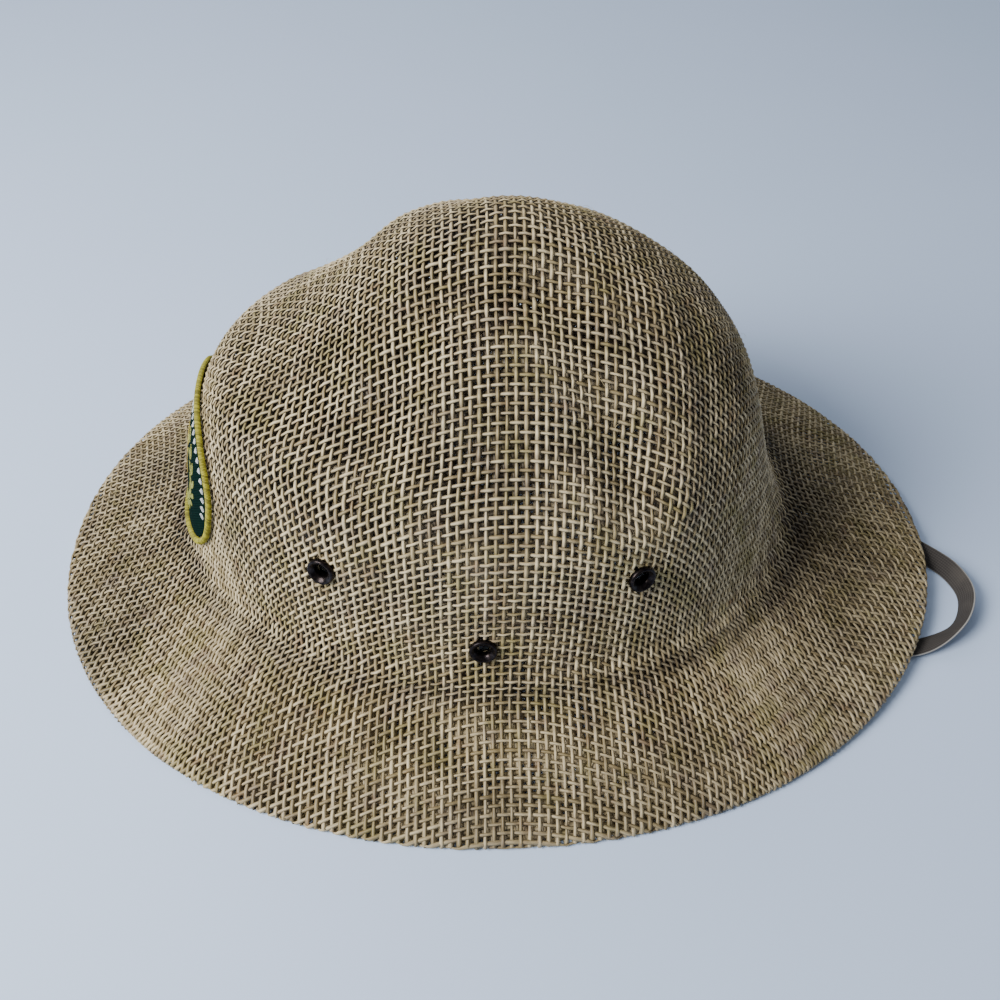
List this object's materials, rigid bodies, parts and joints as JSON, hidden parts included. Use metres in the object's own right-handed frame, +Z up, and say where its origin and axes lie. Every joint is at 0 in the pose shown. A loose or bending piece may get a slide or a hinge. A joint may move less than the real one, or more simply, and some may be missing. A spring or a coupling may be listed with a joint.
{
  "type": "safari hat",
  "caption": "Straw safari hat with a round crown, wide sloping brim, metal vent eyelets, a front patch and an elastic chin strap.",
  "frame": {"origin": "on the surface that the hat rests on, under the middle of the brim's length and width", "axes": "+X to the back of the hat, where the strap shows; -X is the front with the patch; -Y is the wearer's left; +Z up"},
  "size_m": [0.3467, 0.277, 0.1433],
  "materials": {
    "straw": "open plain-woven straw, dull with a slight sheen",
    "eyelet_metal": "dark brown lacquered metal, satin",
    "patch_cloth": "dark green twill",
    "border_thread": "olive-yellow satin thread",
    "elastic": "light grey woven elastic"
  },
  "bodies": {
    "root": {"hat_shell": "straw", "eyelet_left_front": "eyelet_metal", "eyelet_left_back": "eyelet_metal", "eyelet_left_low": "eyelet_metal", "eyelet_right_front": "eyelet_metal", "eyelet_right_back": "eyelet_metal", "eyelet_right_low": "eyelet_metal", "patch_field": "patch_cloth", "patch_border": "border_thread", "chin_strap": "elastic"}
  },
  "joints": []
}
